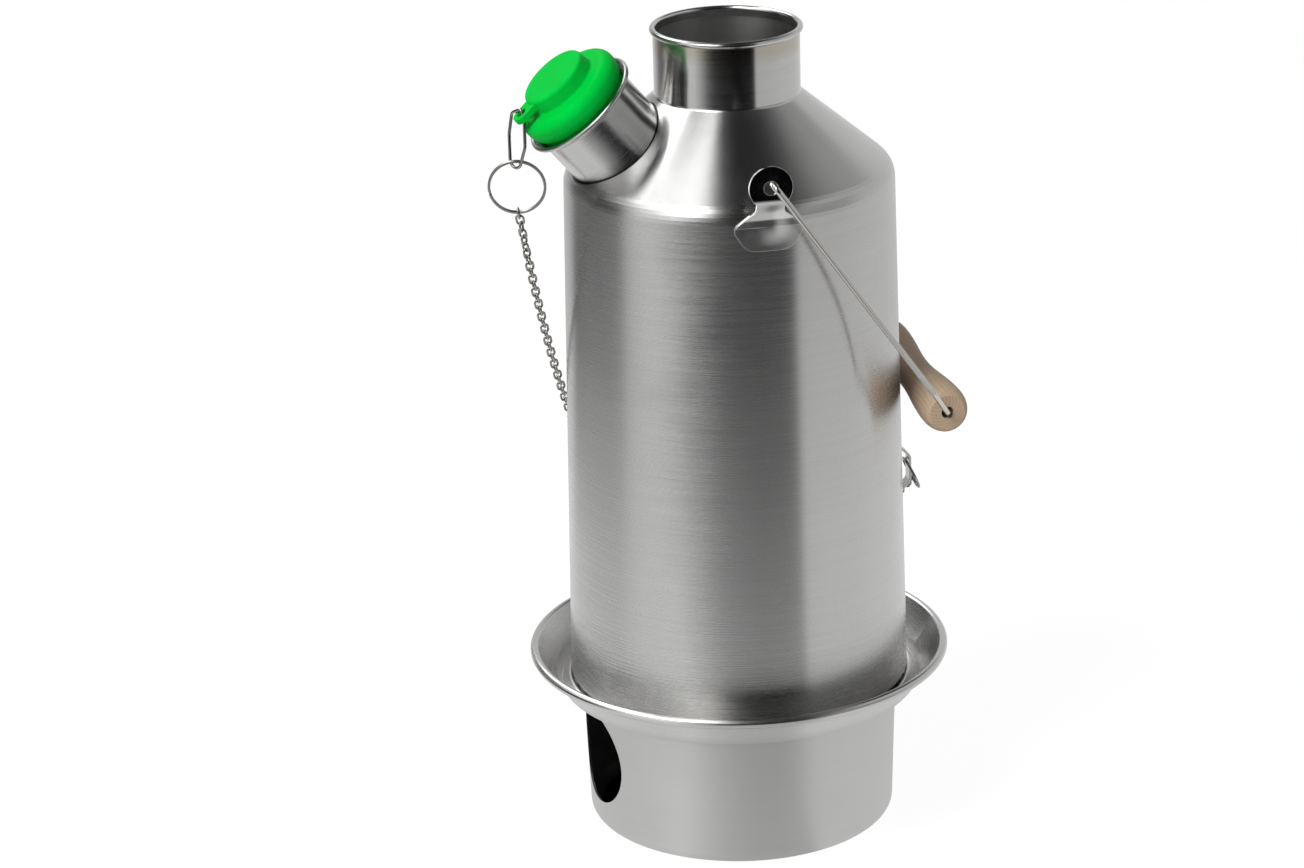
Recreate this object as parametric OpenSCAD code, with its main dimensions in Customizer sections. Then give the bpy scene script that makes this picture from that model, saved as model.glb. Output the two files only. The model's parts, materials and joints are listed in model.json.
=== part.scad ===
// Storm kettle: a water jacket round a chimney, standing in a flared fire base.
// The origin is the centre of the base's underside, Z is up, the spout points
// towards -X and the bail hinges about Y. All sizes are millimetres.

/* [Sheet metal] */
// Thickness of the kettle's steel sheet
sheet = 0.6; // [0.5:0.1:0.9]
// Thickness of the fire base's steel sheet
base_sheet = 0.8; // [0.6:0.1:1.2]
// Gap left between parts that slide past each other
fit_gap = 0.1; // [0.06:0.02:0.2]

/* [Fire base] */
// Width of the ledge between the base's wall and the kettle's edge
ledge_w = 4.8; // [4:0.2:6]
// Narrowing of the base's wall from its top to its floor
base_taper = 2.0; // [0:0.2:4]
// Radius of the bend between floor and wall
base_corner_r = 4.5; // [2:0.5:8]
// Height of the underside of the ledge that the kettle stands on
ledge_z = 61.0; // [58:0.5:66]
// Gap between the kettle's edge and the locating ridge round it
ridge_gap = 0.9; // [0.7:0.1:1.6]
// Height of the locating ridge above the ledge
ridge_h = 1.9; // [1:0.1:3]
// Width of the groove between the ridge and the crease where the flare starts
crease_w = 3.1; // [2.6:0.1:5]
// Drop from the ledge to the crease
crease_drop = 2.2; // [1:0.1:4]
// Width of the flare from the crease to its rolled rim
flare_w = 13.0; // [10:0.5:20]
// Height of the middle of the rolled rim above the crease
flare_h = 14.6; // [10:0.2:20]
// Radius of the rolled rim's bead
flare_bead_r = 1.9; // [1.4:0.1:2.4]
// Radius of the air hole
air_hole_r = 20.6; // [14:0.2:22]
// Height of the middle of the air hole
air_hole_z = 32.9; // [28:0.1:36]
// Turn of the air hole from the spout side towards the front
air_hole_turn = 8.6; // [0:0.2:30]

/* [Kettle body] */
// Outer radius of the body at its bottom
body_foot_r = 71.0; // [66:0.5:78]
// Narrowing of the body from its bottom to its shoulder
body_taper = 3.7; // [2:0.1:6]
// Radius of the body's bottom bend
body_corner_r = 4.0; // [2:0.5:6]
// Height of the body's wall up to the corner of the shoulder
body_h = 220.6; // [200:1:240]
// Slope of the shoulder above the horizontal
shoulder_slope = 40.1; // [35:0.5:44]
// Radius of the bend between wall and shoulder
shoulder_bend_r = 9.6; // [6:0.5:12]
// Outer radius of the neck
neck_r = 29.65; // [28:0.1:32]
// Height of the neck above the shoulder
neck_h = 27.8; // [24:0.2:34]
// Width of the flange that turns in under the body
foot_flange_w = 9.0; // [7:0.5:11]

/* [Chimney] */
// Width of the water jacket at its bottom
jacket_w = 19.0; // [16:0.5:24]
// Length of the straight top of the chimney
flue_straight = 38; // [34:1:44]
// Radius of the bead rolled on the chimney's mouth
flue_bead_r = 1.3; // [1:0.1:1.8]
// Width of the flange that turns out under the chimney
flue_flange_w = 5.0; // [3:0.5:6]

/* [Spout] */
// Outer radius of the spout tube
spout_r = 21.35; // [19:0.1:22]
// Rise of the spout's axis above the horizontal
spout_rise = 50; // [46:0.5:54]
// Turn of the spout from square to the bail towards the front
spout_turn = 6.0; // [0:0.5:10]
// Length of the spout's axis from the shoulder to the mouth
spout_len = 22.1; // [20:0.2:28]
// Radius at which the spout's axis meets the shoulder
spout_foot_r = 48.3; // [46:0.1:50]
// Outer radius of the mouth's bead
spout_rim_r = 25.0; // [24:0.1:26.4]
// Radius of the bead rolled on the mouth
spout_bead_r = 1.0; // [0.9:0.1:1.3]

/* [Bail ears] */
// Height of the middle of the ear's eye above the shoulder corner
eye_h = 11.7; // [10:0.1:14]
// Radius of the ear's disc
ear_r = 8.8; // [7.5:0.1:10]
// Radius of the eye
eye_r = 2.9; // [2.6:0.1:3.2]
// Thickness of the pressed ear
ear_t = 1.3; // [1:0.1:1.6]
// Distance that the disc stands out from the wall
ear_stand = 3.8; // [3:0.1:5]
// Half the width of the ear's neck
ear_neck_w = 5.7; // [5:0.1:7]
// Half the width of the ear's foot
ear_foot_w = 13.4; // [11:0.1:15]
// Height of the ear's foot
ear_foot_h = 13.6; // [10:0.1:15]

/* [Bail] */
// Radius of the bail's wire
bail_wire_r = 1.2; // [1:0.05:1.3]
// Distance from the hinge to the middle of the grip
bail_len = 133.6; // [128:0.1:138]
// Gap that is left between the hanging grip and the wall
grip_rest_gap = 1.4; // [0.6:0.1:3]
// Shift of the wire in its eye, level and up
bail_play = [1.2, 0.9];
// Gap between the ear's disc and the bail's leg
bail_leg_gap = 2.0; // [1.6:0.1:3]
// Length of the grip
grip_len = 100; // [90:1:110]
// Radius of the grip's waist
grip_waist_r = 7.3; // [6:0.1:7.6]
// Radius of the grip's swellings
grip_swell_r = 9.7; // [8:0.1:11]
// Radius of the grip's end faces
grip_end_r = 7.7; // [6.5:0.1:9]
// Radius of the bore through the grip
grip_bore_r = 2.6; // [2:0.1:3]

/* [Stopper] */
// Gap between the plug and the spout's bore
plug_gap = 0.25; // [0.15:0.05:0.4]
// Depth of the plug in the spout
plug_len = 13; // [9:0.5:16]
// Radius of the stopper's flange
flange_r = 23.0; // [21.5:0.1:24]
// Height of the flange's top above the mouth
flange_top = 10.8; // [9:0.1:12]
// Radius of the knob
knob_r = 14.3; // [12:0.1:16]
// Height of the knob above the flange
knob_h = 6.5; // [5:0.1:9]
// Distance from the stopper's axis to the tab's hole
tab_hole_at = 19.0; // [19:0.1:20]
// Turn of the tab round the stopper
tab_turn = 8; // [0:1:15]
// Radius of the tab's round end
tab_r = 4.3; // [3.9:0.1:4.4]
// Thickness of the tab
tab_t = 2.4; // [2:0.1:2.5]
// Radius of the tab's hole
tab_hole_r = 2.1; // [2:0.05:2.3]

/* [Connector and rings] */
// Radius of the connector's wire
connector_wire_r = 0.65; // [0.5:0.05:0.65]
// Width of the connector between its wires' middles
connector_w = 8.0; // [7.6:0.1:8.6]
// Drop of the connector's lower bend below the tab
connector_drop = 22.8; // [20:0.1:25]
// Radius of the connector's lower bend
connector_bend_r = 2.6; // [2.5:0.1:2.7]
// Half the angle between the connector's legs at the lower bend
connector_v = 19.5; // [18:0.5:22]
// Radius of the split ring to the middle of its wire
split_ring_r = 11.25; // [9:0.05:13]
// Width of the split ring's flattened wire, measured outwards
split_wire_w = 1.1; // [0.9:0.05:1.2]
// Thickness of each of the split ring's two turns
split_wire_t = 0.7; // [0.6:0.05:0.7]
// Radius of the lug ring to the middle of its wire
lug_ring_r = 6.9; // [6.4:0.1:7.4]
// Radius of the lug ring's wire
lug_ring_wire_r = 0.6; // [0.5:0.05:0.65]
// Radius of the chain links' wire
link_wire_r = 0.475; // [0.4:0.025:0.5]
// Outer length of a chain link
link_len = 5.3; // [5.1:0.1:5.6]
// Outer width of a chain link
link_w = 3.9; // [3.7:0.1:4.1]
// Number of chain links
chain_links = 102; // [100:2:110]

/* [Chain lug] */
// Height of the middle of the chain lug
lug_z = 144.5; // [130:0.5:170]
// Length of the lug's open loop
lug_loop_h = 20; // [18:0.5:24]
// Outward reach of the lug's loop
lug_reach = 5.6; // [5.2:0.1:6.4]
// Width of the lug's strap
lug_w = 6; // [5:0.1:6.4]
// Thickness of the lug's strap
lug_t = 0.9; // [0.7:0.1:1.1]

/* [Hidden] */
$fn = 96;
steel = [0.74, 0.74, 0.73];
bright = [0.85, 0.85, 0.86];
ring_fn = 48;
wire_fn = 20;
weld_gap = 0.05;
joint_swell = 0.02;

// Plane geometry

function unit(v) = v / norm(v);
function turn_left(v) = [-v[1], v[0]];
function xy(p) = [p[0], p[1]];
function last(list) = list[len(list) - 1];
function reversed(list) = [for (i = [len(list) - 1:-1:0]) list[i]];
function cross2(a, b) = a[0] * b[1] - a[1] * b[0];

// Points of an arc from angle a0 to angle a1, a step at most every 20 degrees
function arc(centre, r, a0, a1, step = 20) =
    let (n = max(1, ceil(abs(a1 - a0) / step)))
    [for (i = [0:n]) let (a = a0 + (a1 - a0) * i / n) centre + r * [cos(a), sin(a)]];

// Arc of radius r that rounds the corner b between a and c
function bend(a, b, c, r) =
    let (u = unit(a - b),
         v = unit(c - b),
         half = acos(max(-1, min(1, u * v))) / 2,
         centre = b + unit(u + v) * r / sin(half),
         from = b + u * r / tan(half) - centre,
         a0 = atan2(from[1], from[0]),
         sweep = sign(cross2(b - a, c - b)) * (180 - 2 * half))
    arc(centre, r, a0, a0 + sweep, 12);

// Open path whose inner points [x, y, r] are rounded to radius r
function rounded(p) =
    [for (i = [0:len(p) - 1])
        each (i == 0 || i == len(p) - 1 || len(p[i]) < 3)
            ? [xy(p[i])]
            : bend(xy(p[i - 1]), xy(p[i]), xy(p[i + 1]), p[i][2])];

// Closed outline whose points [x, y, r] are all rounded
function rounded_loop(p) =
    let (n = len(p))
    [for (i = [0:n - 1])
        each bend(xy(p[(i + n - 1) % n]), xy(p[i]), xy(p[(i + 1) % n]), p[i][2])];

// Path moved to its left by d, mitred at each point
function beside(p, d) =
    let (n = len(p))
    [for (i = [0:n - 1])
        let (before = turn_left(unit(i > 0 ? p[i] - p[i - 1] : p[1] - p[0])),
             after = turn_left(unit(i < n - 1 ? p[i + 1] - p[i] : p[i] - p[i - 1])))
        p[i] + (before + after) * d / (1 + before * after)];

// Closed outline of a sheet of thickness t that lies to the left of a path
function sheet_outline(p, t) = concat(p, reversed(beside(p, t)));

// Sheet turned about Z, given the path of its outer face
module turned_sheet(path, t) {
    rotate_extrude() polygon(sheet_outline(path, t));
}

// Corners of a wire's path: half the angle at corner i, and the bend's reach from it
function half_angle(p, i) =
    acos(unit(xy(p[i - 1]) - xy(p[i])) * unit(xy(p[i + 1]) - xy(p[i]))) / 2;
function bend_reach(p, i) = (i == 0 || i == len(p) - 1) ? 0 : p[i][2] / tan(half_angle(p, i));

// Wire of radius r that runs along Y and bends to its right, through points
// [x, y, bend radius], drawn from point i on
module wire_run(p, r, i = 0) {
    straight = norm(xy(p[i + 1]) - xy(p[i])) - bend_reach(p, i) - bend_reach(p, i + 1);
    rotate([-90, 0, 0]) cylinder(r = r, h = straight, $fn = wire_fn);
    if (i + 2 < len(p)) {
        turn = 180 - 2 * half_angle(p, i + 1);
        translate([0, straight, 0]) wire_joint(r);
        translate([0, straight, 0]) mirror([1, 0, 0]) translate([-p[i + 1][2], 0, 0]) {
            rotate_extrude(angle = turn, $fn = ring_fn)
                translate([p[i + 1][2], 0]) circle(r = r, $fn = wire_fn);
            rotate([0, 0, turn]) translate([p[i + 1][2], 0, 0]) wire_joint(r);
            rotate([0, 0, turn]) translate([p[i + 1][2], 0, 0]) mirror([1, 0, 0])
                wire_run(p, r, i + 1);
        }
    }
}

// Wire along a path that starts at its first point
module open_wire(p, r) {
    first = unit(xy(p[1]) - xy(p[0]));
    translate([p[0][0], p[0][1], 0]) rotate([0, 0, atan2(first[1], first[0]) - 90])
        wire_run(p, r);
}

// Wire along a path that ends where it starts
module closed_wire(p, r) {
    open_wire(p, r);
    translate([p[0][0], p[0][1], 0]) wire_joint(r);
}

// Ball, a hair larger than the wire, that joins a straight to a bend
module wire_joint(r) {
    sphere(r = r + joint_swell, $fn = wire_fn);
}

// Closed oval of wire: two half rings joined by straight sides along X
module wire_oval(length, width, r, fn = 24) {
    for (side = [-1, 1]) {
        translate([side * (length - width) / 2, 0, 0])
            rotate([0, 0, side > 0 ? -90 : 90])
                rotate_extrude(angle = 180, $fn = fn)
                    translate([width / 2, 0]) circle(r = r, $fn = 16);
        translate([-(length - width) / 2, side * width / 2, 0])
            rotate([0, 90, 0]) cylinder(r = r, h = length - width, $fn = 16);
    }
}

// Child placed so that its X, Y and Z axes become the unit vectors a, b and c
module in_axes(at, a, b, c) {
    multmatrix([[a[0], b[0], c[0], at[0]],
                [a[1], b[1], c[1], at[1]],
                [a[2], b[2], c[2], at[2]],
                [0, 0, 0, 1]]) children();
}

// Fire base

ledge_top_z = ledge_z + base_sheet;
crease_z = ledge_z - crease_drop;
flare_z = crease_z + flare_h;
base_top_r = body_foot_r - ledge_w;
base_foot_r = base_top_r - base_taper;
ridge_r = body_foot_r + ridge_gap;
crease_r = ridge_r + crease_w;
flare_r = crease_r + flare_w;
flare_bead_at = [flare_r - flare_bead_r, flare_z];
flare_curl_r = flare_bead_r - base_sheet;

function base_path() = concat(
    rounded([[0, 0],
             [base_foot_r, 0, base_corner_r],
             [base_top_r, ledge_z, 1.4],
             [ridge_r - 1.2, ledge_z, 0.5],
             [ridge_r - 0.5, ledge_z + ridge_h - base_sheet / 2, 0.4],
             [crease_r, crease_z, 1.0],
             flare_bead_at + flare_curl_r * [cos(150), sin(150)]]),
    arc(flare_bead_at, flare_curl_r, 130, -110, 24));

module fire_base() {
    color(steel) difference() {
        turned_sheet(base_path(), base_sheet);
        rotate([0, 0, air_hole_turn]) translate([0, 0, air_hole_z])
            rotate([0, -90, 0]) cylinder(r = air_hole_r, h = base_top_r * 2);
    }
}

// Kettle body

kettle_z = ledge_top_z + fit_gap;
corner_z = kettle_z + body_h;
body_top_r = body_foot_r - body_taper;
neck_z = corner_z + (body_top_r - neck_r) * tan(shoulder_slope);
mouth_z = neck_z + neck_h;
wall_slope = (body_top_r - body_foot_r) / body_h;
function wall_r(z) = body_foot_r + wall_slope * (z - kettle_z);

neck_end_z = mouth_z - 2 * flue_bead_r - weld_gap;

function shell_wall_path() = rounded([
    [body_foot_r - foot_flange_w, kettle_z],
    [body_foot_r, kettle_z, body_corner_r],
    [body_top_r, corner_z, shoulder_bend_r],
    [neck_r, neck_z, 1.5],
    [neck_r, neck_end_z]]);

// Everything inside the shell's outer face
module shell_core() {
    rotate_extrude()
        polygon(concat([[0, kettle_z]], shell_wall_path(), [[0, neck_end_z]]));
}

module outer_shell() {
    color(steel) difference() {
        turned_sheet(shell_wall_path(), sheet);
        at_spout() translate([0, 0, -2 * spout_len]) cylinder(r = spout_r - sheet, h = 2 * spout_len);
    }
}

// Chimney

flue_r = neck_r - sheet - weld_gap;
flue_foot_r = body_foot_r - jacket_w;
flue_z = kettle_z + 3 * sheet + weld_gap;
flue_bead_at = [flue_r + flue_bead_r - sheet, mouth_z - flue_bead_r];

function flue_path() = concat(
    rounded([[flue_foot_r + flue_flange_w, flue_z],
             [flue_foot_r, flue_z, 2.5],
             [flue_r, mouth_z - flue_straight, 30],
             [flue_r, flue_bead_at[1]]]),
    arc(flue_bead_at, flue_bead_r - sheet, 156, -100, 24));

module flue() {
    color(steel) turned_sheet(flue_path(), sheet);
}

// Ring that closes the water jacket between the chimney and the body
module bottom_ring() {
    inner_r = flue_foot_r + 0.4;
    outer_r = body_foot_r - body_corner_r - 0.4;
    color(steel) translate([0, 0, kettle_z + sheet])
        difference() {
            cylinder(r = outer_r, h = sheet);
            translate([0, 0, -sheet]) cylinder(r = inner_r, h = 3 * sheet);
        }
}

// Spout

spout_foot_z = neck_z - (spout_foot_r - neck_r) * tan(shoulder_slope);
spout_out = [-cos(spout_turn), -sin(spout_turn), 0];
spout_axis = spout_out * cos(spout_rise) + [0, 0, sin(spout_rise)];
spout_down = spout_out * sin(spout_rise) - [0, 0, cos(spout_rise)];
spout_side = cross(spout_axis, spout_down);
mouth_at = spout_out * spout_foot_r + [0, 0, spout_foot_z] + spout_axis * spout_len;
spout_bead_at = [spout_rim_r - spout_bead_r, 0];
spout_curl_r = spout_bead_r - sheet;

// Child moved from the spout's own axes, whose origin is the middle of its mouth.
// There Z runs out of the mouth and X towards its lowest point.
module at_spout() {
    in_axes(mouth_at, spout_down, spout_side, spout_axis) children();
}

function spout_path() =
    let (lip = spout_bead_at + spout_curl_r * [cos(135), sin(135)])
    concat(rounded([[spout_r, -2 * spout_len],
                    [spout_r, lip[1] - (lip[0] - spout_r), 2],
                    lip]),
           arc(spout_bead_at, spout_curl_r, 112, -110, 24));

module spout() {
    color(steel) difference() {
        at_spout() turned_sheet(spout_path(), sheet);
        shell_core();
    }
}

// Bail ears

eye_z = corner_z + eye_h;
ear_face_y = wall_r(corner_z) + ear_stand + ear_t;
ear_foot_top = eye_z - ear_r - 2;
ear_foot_z = ear_foot_top - ear_foot_h - 2;

function ear_outline() =
    let (w = ear_foot_w, z0 = ear_foot_z, h = ear_foot_h)
    rounded_loop([[-ear_neck_w, eye_z, 0.2],
                  [-ear_neck_w, z0 + h + 2.5, 3],
                  [-w - 1.6, z0 + 0.66 * h, 3.6],
                  [-0.68 * w, z0 - 0.2, 7],
                  [0.68 * w, z0 - 0.2, 7],
                  [w + 1.6, z0 + 0.66 * h, 3.6],
                  [ear_neck_w, z0 + h + 2.5, 3],
                  [ear_neck_w, eye_z, 0.2]]);

// Outline of the ear, upright, from y = -near to y = -far
module ear_slab(near, far) {
    translate([0, -near, 0]) rotate([90, 0, 0]) linear_extrude(far - near) {
        polygon(ear_outline());
        translate([0, eye_z]) circle(r = ear_r);
    }
}

// The ear's foot, pressed to the curve and taper of the wall
module ear_foot() {
    top = ear_foot_z + ear_foot_h + 1;
    low = ear_foot_z - 2;
    intersection() {
        ear_slab(50, 80);
        translate([0, 0, low]) difference() {
            cylinder(r1 = wall_r(low) + weld_gap + ear_t, r2 = wall_r(top) + weld_gap + ear_t, h = top - low);
            translate([0, 0, -1])
                cylinder(r1 = wall_r(low - 1) + weld_gap, r2 = wall_r(top + 1) + weld_gap, h = top - low + 2);
        }
    }
}

// The ear's neck and disc, set out from the wall, with a pressed groove
module ear_upper() {
    foot_y = wall_r(ear_foot_z + ear_foot_h - 3) + weld_gap;
    knee = ear_foot_z + ear_foot_h - 1;
    elbow = eye_z - 0.62 * ear_r;
    face = ear_face_y - ear_t;
    side = rounded([[foot_y, knee - 3], [foot_y, knee, 2], [face, elbow, 3],
                    [face, eye_z + ear_r + 1]]);
    tilt = atan2(face - foot_y, elbow - knee);
    groove_r = 2.4;
    groove_out = 1.5;
    intersection() {
        ear_slab(50, 90);
        difference() {
            union() {
                rotate([0, 0, -90]) rotate([90, 0, 0])
                    translate([0, 0, -20]) linear_extrude(40)
                        polygon(sheet_outline(side, -ear_t));
                translate([0, -(foot_y + ear_t + groove_out), knee - 1.5]) rotate([tilt, 0, 0])
                    cylinder(r = groove_r + 0.8, h = elbow - knee + 1.5, $fn = 32);
            }
            translate([0, -(foot_y + ear_t + groove_out), knee - 4]) rotate([tilt, 0, 0])
                cylinder(r = groove_r, h = elbow - knee + 6, $fn = 32);
            ear_front_clear(foot_y + ear_t, face + ear_t, knee, elbow);
        }
    }
}

// Space in front of the ear's outer face, where the groove's back must not show
module ear_front_clear(foot_y, face_y, knee, elbow) {
    side = rounded([[foot_y, knee - 9], [foot_y, knee, 2], [face_y, elbow, 3],
                    [face_y, eye_z + ear_r + 3]]);
    rotate([0, 0, -90]) rotate([90, 0, 0]) translate([0, 0, -20]) linear_extrude(40)
        polygon(sheet_outline(side, -10));
}

module bail_ear() {
    color(bright) difference() {
        union() {
            ear_foot();
            ear_upper();
        }
        translate([0, 0, eye_z]) rotate([90, 0, 0]) cylinder(r = eye_r, h = 2 * ear_face_y);
    }
}

module bail_lug_front() { bail_ear(); }
module bail_lug_back() { mirror([0, 1, 0]) bail_ear(); }

// Bail

hinge_at = [bail_play[0], 0, eye_z + bail_play[1]];
grip_rest_z = hinge_at[2] - 0.82 * bail_len;
bail_lean = asin((wall_r(grip_rest_z) + grip_waist_r + grip_rest_gap - hinge_at[0]) / bail_len);
bail_along = [sin(bail_lean), 0, -cos(bail_lean)];
bail_across = [cos(bail_lean), 0, sin(bail_lean)];
leg_y = ear_face_y + bail_leg_gap + bail_wire_r;
tail_y = ear_face_y - ear_t - 1.6 - bail_wire_r;
wire_bend_r = 2.2;
grip_bend_r = 3;
shoulder_out = 11.7;
shoulder_back = 15;
shoulder_bow_r = 6;
tail_len = 6.2;
grip_gap = 0.8;

// Child moved from the bail's own plane: X along Y, Y from the hinge to the grip
module in_bail_plane() {
    in_axes(hinge_at, [0, 1, 0], bail_along, cross([0, 1, 0], bail_along)) children();
}

module bail_wire() {
    bend_y = grip_len / 2 + grip_gap;
    half = [[0, bail_len],
            [bend_y, bail_len, grip_bend_r],
            [bend_y + shoulder_out, bail_len - shoulder_back, shoulder_bow_r],
            [leg_y, 0, wire_bend_r],
            [tail_y, 0, wire_bend_r],
            [tail_y, tail_len]];
    color(bright) in_bail_plane()
        for (side = [0, 1]) mirror([side, 0, 0]) open_wire(half, bail_wire_r);
}

function grip_outline() =
    let (swell_y = 0.41 * grip_len,
         end_y = grip_len / 2,
         n = 8,
         body = [for (i = [0:n]) let (y = swell_y * i / n)
                    [grip_waist_r + (grip_swell_r - grip_waist_r) * (1 - cos(180 * i / n)) / 2, y]],
         shoulder = [for (a = [15:15:75])
                    [grip_end_r + (grip_swell_r - grip_end_r) * cos(a),
                     swell_y + (end_y - 0.4 - swell_y) * sin(a)]],
         half = concat(body, shoulder, [[grip_end_r, end_y - 0.4], [grip_end_r - 0.4, end_y]]))
    concat([for (i = [len(half) - 1:-1:1]) [half[i][0], -half[i][1]]], half);

module bail_grip() {
    color([0.72, 0.6, 0.46]) in_bail_plane()
        translate([0, bail_len, 0]) rotate([0, 90, 0])
            rotate_extrude() polygon(concat(grip_outline(),
                [[grip_bore_r, grip_len / 2], [grip_bore_r, -grip_len / 2]]));
}

// Stopper

plug_r = spout_r - sheet - plug_gap;
seat_h = spout_bead_r + 0.1;
knob_top = flange_top + knob_h;
tab_top = flange_top + 0.84 * knob_h;
flange_round_r = 4.3;

function stopper_outline() = concat(
    [[0, -plug_len + 8],
     [plug_r - 5, -plug_len + 8],
     [plug_r - 4, -plug_len],
     [plug_r - 1.2, -plug_len],
     [plug_r - 0.9, -plug_len + 2],
     [plug_r, -plug_len + 3.2],
     [plug_r, -plug_len + 4.6],
     [plug_r - 0.7, -plug_len + 5.8],
     [plug_r, -plug_len + 7.4],
     [plug_r, -1],
     [plug_r, seat_h]],
    rounded([[plug_r + 0.2, seat_h],
             [flange_r - 1.1, seat_h, 0.9],
             [flange_r, 4.4, 6],
             [flange_r, flange_top, flange_round_r],
             [knob_r + 0.7, flange_top, 1.2],
             [knob_r, knob_top, 1.2],
             [0, knob_top]]));

// Tongue of the stopper that the connector hangs from
module stopper_tab() {
    tip = tab_hole_at;
    rotate([0, 0, tab_turn]) translate([0, 0, tab_top - tab_t]) difference() {
        union() {
            translate([tip, 0, 0]) cylinder(r = tab_r, h = tab_t, $fn = 48);
            translate([0, -tab_r, 0]) cube([tip, 2 * tab_r, tab_t]);
        }
        translate([tip, 0, -1]) cylinder(r = tab_hole_r, h = tab_t + 2, $fn = 32);
    }
}

module stopper() {
    color([0.0, 0.75, 0.27]) at_spout() union() {
        rotate_extrude() polygon(stopper_outline());
        stopper_tab();
    }
}

// Connector and split ring, which hang from the stopper's tab

tab_out = spout_down * cos(tab_turn) + spout_side * sin(tab_turn);
tab_mid = mouth_at + tab_out * tab_hole_at + spout_axis * (tab_top - tab_t / 2);
connector_turn = 130;
connector_out = [cos(connector_turn), sin(connector_turn), 0];
connector_in = -0.2;
connector_foot_at = connector_in + 0.64 * connector_w;
connector_start = -6;
tab_clear = 0.25;

// Height of the connector's top, which lies on the sloping tab, at distance x outwards
function connector_top(x) =
    (tab_t / 2 + connector_wire_r + tab_clear - x * (connector_out * spout_axis)) / spout_axis[2];

// Corners [outward, up, bend radius] of the connector, from its inner leg, clockwise
function connector_path() =
    let (outer = connector_in + connector_w,
         vertex = -connector_drop - connector_bend_r * (1 / sin(connector_v) - 1),
         rise_in = (connector_foot_at - connector_in) / tan(connector_v),
         rise_out = (outer - connector_foot_at) / tan(connector_v))
    [[connector_in, connector_start],
     [connector_in, -1, 1.4],
     [connector_in + 1.5, connector_top(connector_in + 1.5), 1.2],
     [outer - 1.8, connector_top(outer - 1.8), 2.4],
     [outer, connector_start - 3, 8],
     [outer, vertex + rise_out, 3],
     [connector_foot_at, vertex, connector_bend_r],
     [connector_in, vertex + rise_in, 7],
     [connector_in, connector_start]];

connector_foot = tab_mid + connector_out * connector_foot_at - [0, 0, connector_drop];

module connector_link() {
    color(bright)
        in_axes(tab_mid, connector_out, [0, 0, 1], cross(connector_out, [0, 0, 1]))
            closed_wire(connector_path(), connector_wire_r);
}

split_pitch = split_wire_t - joint_swell;

// The ring lies askew in the connector's bend and bears on its two sides
askew_half_w = 2.5 * split_wire_t;
connector_inner_r = connector_bend_r - connector_wire_r;
split_seat = split_wire_w / 2 + 3.6 * fit_gap
             + connector_inner_r - sqrt(connector_inner_r ^ 2 - askew_half_w ^ 2);
split_turn = -13;
split_lean = 8.8;
split_level = [cos(split_turn), sin(split_turn), 0];
split_back = [-sin(split_turn), cos(split_turn), 0];
split_up = [0, 0, 1] * cos(split_lean) - split_back * sin(split_lean);
split_mid = connector_foot + [0, 0, connector_wire_r + split_seat] - split_up * split_ring_r;

function split_section() =
    let (w = split_wire_w / 2, t = split_wire_t / 2, r = 0.25)
    rounded_loop([[-w, -t, r], [w, -t, r], [w, t, r], [-w, t, r]]);

module split_ring() {
    gap = 8;
    color(bright)
        in_axes(split_mid, split_level, split_up, cross(split_level, split_up))
            for (side = [-1, 1])
                translate([0, 0, side * split_pitch / 2]) rotate([0, 0, 190 + side * 6])
                    rotate_extrude(angle = 360 - gap, $fn = ring_fn)
                        translate([split_ring_r, 0]) polygon(split_section());
}

// Chain lug and its ring

lug_wall_r = wall_r(lug_z);
lug_out_x = lug_wall_r + lug_reach;

module chain_lug() {
    half = lug_loop_h / 2;
    foot = 4.5;
    knee = 4.6;
    low = lug_z - half;
    high = lug_z + half;
    side = rounded([[wall_r(low - foot) + weld_gap, low - foot],
                    [wall_r(low) + weld_gap, low, 1.5],
                    [lug_out_x - lug_t, low + knee, 2.5],
                    [lug_out_x - lug_t, high - knee, 2.5],
                    [wall_r(high) + weld_gap, high, 1.5],
                    [wall_r(high + foot) + weld_gap, high + foot]]);
    color(bright) intersection() {
        rotate([90, 0, 0]) translate([0, 0, -lug_w / 2]) linear_extrude(lug_w)
            polygon(sheet_outline(side, -lug_t));
        rotate([90, 0, 90]) linear_extrude(lug_out_x + 5)
            polygon(rounded_loop([[-lug_w / 2, low - foot, 2.4], [lug_w / 2, low - foot, 2.4],
                                  [lug_w / 2, high + foot, 2.4], [-lug_w / 2, high + foot, 2.4]]));
    }
}

lug_ring_droop = 66;
lug_ring_down = [cos(lug_ring_droop), 0, -sin(lug_ring_droop)];
lug_ring_gap = 0.6;
lug_ring_rise = 3.4;
lug_ring_mid = [lug_out_x - lug_t - lug_ring_wire_r - lug_ring_gap, 0, lug_z + lug_ring_rise]
               + lug_ring_down * lug_ring_r;

module lug_ring() {
    color(bright)
        in_axes(lug_ring_mid, lug_ring_down, [0, 1, 0], cross(lug_ring_down, [0, 1, 0]))
            rotate_extrude($fn = ring_fn) translate([lug_ring_r, 0]) circle(r = lug_ring_wire_r, $fn = 16);
}

// Chain
// It hangs from the split ring, meets the wall's back, lies round it and ends in
// the lug ring. Unrolled from the wall, its line is a catenary.

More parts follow.
